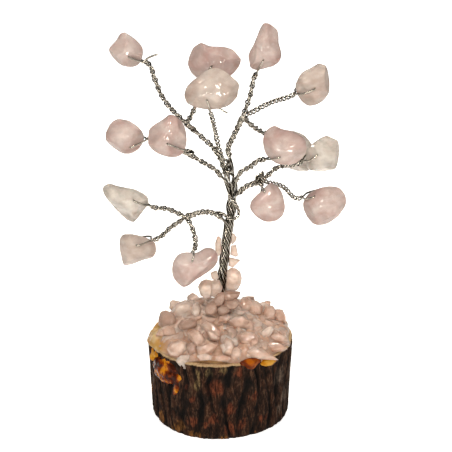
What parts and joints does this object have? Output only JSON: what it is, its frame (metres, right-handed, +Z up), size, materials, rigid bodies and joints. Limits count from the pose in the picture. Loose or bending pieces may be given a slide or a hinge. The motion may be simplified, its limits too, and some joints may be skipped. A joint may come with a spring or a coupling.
{
  "type": "gemstone tree ornament",
  "caption": "Small wire tree with drilled rose quartz stones on bendable twigs, standing in a bed of quartz chips glued on a round slice of log with its bark.",
  "frame": {"origin": "centre of the log's sawn foot, on the surface that the tree stands on", "axes": "+Z up along the tree, the pictured front faces -Y, +X to the viewer's right"},
  "size_m": [0.0807, 0.0495, 0.1356],
  "materials": {
    "log_wood": "sawn",
    "bark": "rough",
    "clear_glue": "gloss",
    "amber_glue": "gloss",
    "quartz_chips": "gloss",
    "rose_quartz": "gloss",
    "clear_quartz": "gloss",
    "silver_wire": "bright drawn"
  },
  "bodies": {
    "base": {"amber_glue_left_bead": "amber_glue", "amber_glue_left_drip": "amber_glue", "amber_glue_right_bead": "amber_glue", "amber_glue_right_drip": "amber_glue", "chips_inner_ring": "quartz_chips", "chips_middle_ring": "quartz_chips", "chips_outer_ring": "quartz_chips", "chips_trunk_foot": "quartz_chips", "glue_bed": "clear_glue", "log_bark": "bark", "log_wood": "log_wood", "trunk_strand_crown_left": "silver_wire", "trunk_strand_crown_right": "silver_wire", "trunk_strand_lower_left": "silver_wire", "trunk_strand_lower_right": "silver_wire", "trunk_strand_middle_left": "silver_wire", "trunk_strand_trunk_right": "silver_wire", "trunk_strand_trunk_top": "silver_wire"},
    "bough_crown_left": {"bough_crown_left": "silver_wire"},
    "bough_crown_right": {"bough_crown_right": "silver_wire"},
    "bough_middle_left": {"bough_middle_left": "silver_wire"},
    "bough_lower_right": {"bough_lower_right": "silver_wire"},
    "bough_lower_left": {"bough_lower_left": "silver_wire"},
    "twig_top_left": {"twig_top_left": "silver_wire"},
    "stone_top_left": {"stone_top_left": "rose_quartz"},
    "twig_top_back": {"twig_top_back": "silver_wire"},
    "stone_top_back": {"stone_top_back": "rose_quartz"},
    "twig_top_front": {"twig_top_front": "silver_wire"},
    "stone_top_front": {"stone_top_front": "rose_quartz"},
    "twig_tall_tear": {"twig_tall_tear": "silver_wire"},
    "stone_tall_tear": {"stone_tall_tear": "rose_quartz"},
    "twig_upper_right": {"twig_upper_right": "silver_wire"},
    "stone_upper_right": {"stone_upper_right": "rose_quartz"},
    "twig_middle_left": {"twig_middle_left": "silver_wire"},
    "stone_middle_left": {"stone_middle_left": "rose_quartz"},
    "twig_middle_left_inner": {"twig_middle_left_inner": "silver_wire"},
    "stone_middle_left_inner": {"stone_middle_left_inner": "rose_quartz"},
    "twig_middle_right_inner": {"twig_middle_right_inner": "silver_wire"},
    "stone_middle_right_inner": {"stone_middle_right_inner": "rose_quartz"},
    "twig_middle_right_outer": {"twig_middle_right_outer": "silver_wire"},
    "stone_middle_right_outer": {"stone_middle_right_outer": "clear_quartz"},
    "twig_middle_right_back": {"twig_middle_right_back": "silver_wire"},
    "stone_middle_right_back": {"stone_middle_right_back": "clear_quartz"},
    "twig_lower_right_inner": {"twig_lower_right_inner": "silver_wire"},
    "stone_lower_right_inner": {"stone_lower_right_inner": "rose_quartz"},
    "twig_lower_right_heart": {"twig_lower_right_heart": "silver_wire"},
    "stone_lower_right_heart": {"stone_lower_right_heart": "rose_quartz"},
    "twig_lower_left_clear": {"twig_lower_left_clear": "silver_wire"},
    "stone_lower_left_clear": {"stone_lower_left_clear": "clear_quartz"},
    "twig_lower_left": {"twig_lower_left": "silver_wire"},
    "stone_lower_left": {"stone_lower_left": "rose_quartz"},
    "twig_low_centre": {"twig_low_centre": "silver_wire"},
    "stone_low_centre": {"stone_low_centre": "rose_quartz"}
  },
  "joints": [
    {"name": "bough_crown_left_bend", "type": "hinge", "parent": "base", "child": "bough_crown_left", "pos_m": [-0.002, 0.0012, 0.09439], "axis": [0, 1, 0], "range_deg": [-8, 5]},
    {"name": "bough_crown_right_bend", "type": "hinge", "parent": "base", "child": "bough_crown_right", "pos_m": [0.0026, 0.0004, 0.09439], "axis": [0, -1, 0], "range_deg": [-10, 4]},
    {"name": "bough_middle_left_bend", "type": "hinge", "parent": "base", "child": "bough_middle_left", "pos_m": [-0.0012, -0.0009, 0.08738], "axis": [0, 1, 0], "range_deg": [-8, 10]},
    {"name": "bough_lower_right_bend", "type": "hinge", "parent": "base", "child": "bough_lower_right", "pos_m": [0.0076, -0.0008, 0.08133], "axis": [0, -1, 0], "range_deg": [-8, 10]},
    {"name": "bough_lower_left_bend", "type": "hinge", "parent": "base", "child": "bough_lower_left", "pos_m": [-0.0016, -0.0022, 0.07296], "axis": [0, 1, 0], "range_deg": [-8, 10]},
    {"name": "twig_top_left_bend", "type": "hinge", "parent": "bough_crown_left", "child": "twig_top_left", "pos_m": [-0.01247, 0.003, 0.10379], "axis": [0, 1, 0], "range_deg": [-10, 10]},
    {"name": "stone_top_left_swivel", "type": "hinge", "parent": "twig_top_left", "child": "stone_top_left", "pos_m": [-0.02952, 0.00429, 0.12476], "axis": [0.1727, -0.9794, -0.1045], "range_deg": [-10, 10]},
    {"name": "twig_top_back_bend", "type": "hinge", "parent": "bough_crown_left", "child": "twig_top_back", "pos_m": [-0.0099, 0.00399, 0.10408], "axis": [0, -1, 0], "range_deg": [-10, 10]},
    {"name": "stone_top_back_swivel", "type": "hinge", "parent": "twig_top_back", "child": "stone_top_back", "pos_m": [-0.00214, 0.0094, 0.12029], "axis": [-0.1384, -0.9848, 0.1045], "range_deg": [-10, 10]},
    {"name": "twig_top_front_bend", "type": "hinge", "parent": "base", "child": "twig_top_front", "pos_m": [-0.0002, -0.002, 0.09459], "axis": [0, 1, 0], "range_deg": [-10, 10]},
    {"name": "stone_top_front_swivel", "type": "hinge", "parent": "twig_top_front", "child": "stone_top_front", "pos_m": [-0.00442, -0.00715, 0.11257], "axis": [0.1035, -0.9848, 0.1392], "range_deg": [-10, 10]},
    {"name": "twig_tall_tear_bend", "type": "hinge", "parent": "bough_crown_right", "child": "twig_tall_tear", "pos_m": [0.00814, 0.00092, 0.10734], "axis": [0, -1, 0], "range_deg": [-10, 4]},
    {"name": "stone_tall_tear_swivel", "type": "hinge", "parent": "twig_tall_tear", "child": "stone_tall_tear", "pos_m": [0.01407, 0.00129, 0.12413], "axis": [-0.1386, -0.9865, -0.0872], "range_deg": [-10, 10]},
    {"name": "twig_upper_right_bend", "type": "hinge", "parent": "bough_crown_right", "child": "twig_upper_right", "pos_m": [0.00933, -0.00007, 0.10631], "axis": [0, -1, 0], "range_deg": [-10, 10]},
    {"name": "stone_upper_right_swivel", "type": "hinge", "parent": "twig_upper_right", "child": "stone_upper_right", "pos_m": [0.02874, -0.00313, 0.11601], "axis": [0.2413, -0.9679, -0.0698], "range_deg": [-10, 10]},
    {"name": "twig_middle_left_bend", "type": "hinge", "parent": "bough_middle_left", "child": "twig_middle_left", "pos_m": [-0.01374, 0.00094, 0.09451], "axis": [0, 1, 0], "range_deg": [-10, 10]},
    {"name": "stone_middle_left_swivel", "type": "hinge", "parent": "twig_middle_left", "child": "stone_middle_left", "pos_m": [-0.02906, 0.0044, 0.09527], "axis": [-0.1384, -0.9848, -0.1045], "range_deg": [-10, 10]},
    {"name": "twig_middle_left_inner_bend", "type": "hinge", "parent": "bough_middle_left", "child": "twig_middle_left_inner", "pos_m": [-0.01037, -0.00176, 0.09408], "axis": [0, 1, 0], "range_deg": [-10, 10]},
    {"name": "stone_middle_left_inner_swivel", "type": "hinge", "parent": "twig_middle_left_inner", "child": "stone_middle_left_inner", "pos_m": [-0.01716, -0.00673, 0.09862], "axis": [0.1556, -0.9823, 0.1045], "range_deg": [-10, 10]},
    {"name": "twig_middle_right_inner_bend", "type": "hinge", "parent": "base", "child": "twig_middle_right_inner", "pos_m": [0.00688, -0.0028, 0.08758], "axis": [0, -1, 0], "range_deg": [-10, 10]},
    {"name": "stone_middle_right_inner_swivel", "type": "hinge", "parent": "twig_middle_right_inner", "child": "stone_middle_right_inner", "pos_m": [0.01904, -0.01012, 0.0951], "axis": [-0.1041, -0.9907, 0.0872], "range_deg": [-10, 10]},
    {"name": "twig_middle_right_outer_bend", "type": "hinge", "parent": "bough_lower_right", "child": "twig_middle_right_outer", "pos_m": [0.01546, 0.0002, 0.08527], "axis": [0, -1, 0], "range_deg": [-10, 10]},
    {"name": "stone_middle_right_outer_swivel", "type": "hinge", "parent": "twig_middle_right_outer", "child": "stone_middle_right_outer", "pos_m": [0.03088, -0.00156, 0.09395], "axis": [0.1732, -0.9824, -0.0698], "range_deg": [-10, 10]},
    {"name": "twig_middle_right_back_bend", "type": "hinge", "parent": "bough_crown_right", "child": "twig_middle_right_back", "pos_m": [0.00859, 0.00187, 0.10378], "axis": [0, -1, 0], "range_deg": [-10, 10]},
    {"name": "stone_middle_right_back_swivel", "type": "hinge", "parent": "twig_middle_right_back", "child": "stone_middle_right_back", "pos_m": [0.02185, 0.00994, 0.09332], "axis": [-0.1732, -0.9824, -0.0698], "range_deg": [-10, 10]},
    {"name": "twig_lower_right_inner_bend", "type": "hinge", "parent": "bough_lower_right", "child": "twig_lower_right_inner", "pos_m": [0.01374, 0.0006, 0.086], "axis": [0, -1, 0], "range_deg": [-10, 10]},
    {"name": "stone_lower_right_inner_swivel", "type": "hinge", "parent": "twig_lower_right_inner", "child": "stone_lower_right_inner", "pos_m": [0.01407, -0.00389, 0.08067], "axis": [0.1271, -0.9047, 0.4067], "range_deg": [-10, 10]},
    {"name": "twig_lower_right_heart_bend", "type": "hinge", "parent": "bough_lower_right", "child": "twig_lower_right_heart", "pos_m": [0.0157, 0.00148, 0.08286], "axis": [0, -1, 0], "range_deg": [-10, 10]},
    {"name": "stone_lower_right_heart_swivel", "type": "hinge", "parent": "twig_lower_right_heart", "child": "stone_lower_right_heart", "pos_m": [0.03173, 0.0032, 0.07836], "axis": [-0.173, -0.9811, -0.0872], "range_deg": [-10, 10]},
    {"name": "twig_lower_left_clear_bend", "type": "hinge", "parent": "bough_lower_left", "child": "twig_lower_left_clear", "pos_m": [-0.01311, -0.00143, 0.0725], "axis": [0, 1, 0], "range_deg": [-10, 10]},
    {"name": "stone_lower_left_clear_swivel", "type": "hinge", "parent": "twig_lower_left_clear", "child": "stone_lower_left_clear", "pos_m": [-0.02863, -0.00307, 0.07877], "axis": [0.1561, -0.9853, 0.0698], "range_deg": [-10, 10]},
    {"name": "twig_lower_left_bend", "type": "hinge", "parent": "bough_lower_left", "child": "twig_lower_left", "pos_m": [-0.01266, -0.00001, 0.0701], "axis": [0, 1, 0], "range_deg": [-10, 10]},
    {"name": "stone_lower_left_swivel", "type": "hinge", "parent": "twig_lower_left", "child": "stone_lower_left", "pos_m": [-0.0278, 0.00464, 0.06073], "axis": [-0.2071, -0.9744, -0.0872], "range_deg": [-10, 10]},
    {"name": "twig_low_centre_bend", "type": "hinge", "parent": "bough_lower_left", "child": "twig_low_centre", "pos_m": [-0.01023, -0.00249, 0.06995], "axis": [0, -1, 0], "range_deg": [-10, 10]},
    {"name": "stone_low_centre_swivel", "type": "hinge", "parent": "twig_low_centre", "child": "stone_low_centre", "pos_m": [-0.00969, -0.00737, 0.05866], "axis": [0.1212, -0.9871, 0.1045], "range_deg": [-10, 10]}
  ]
}
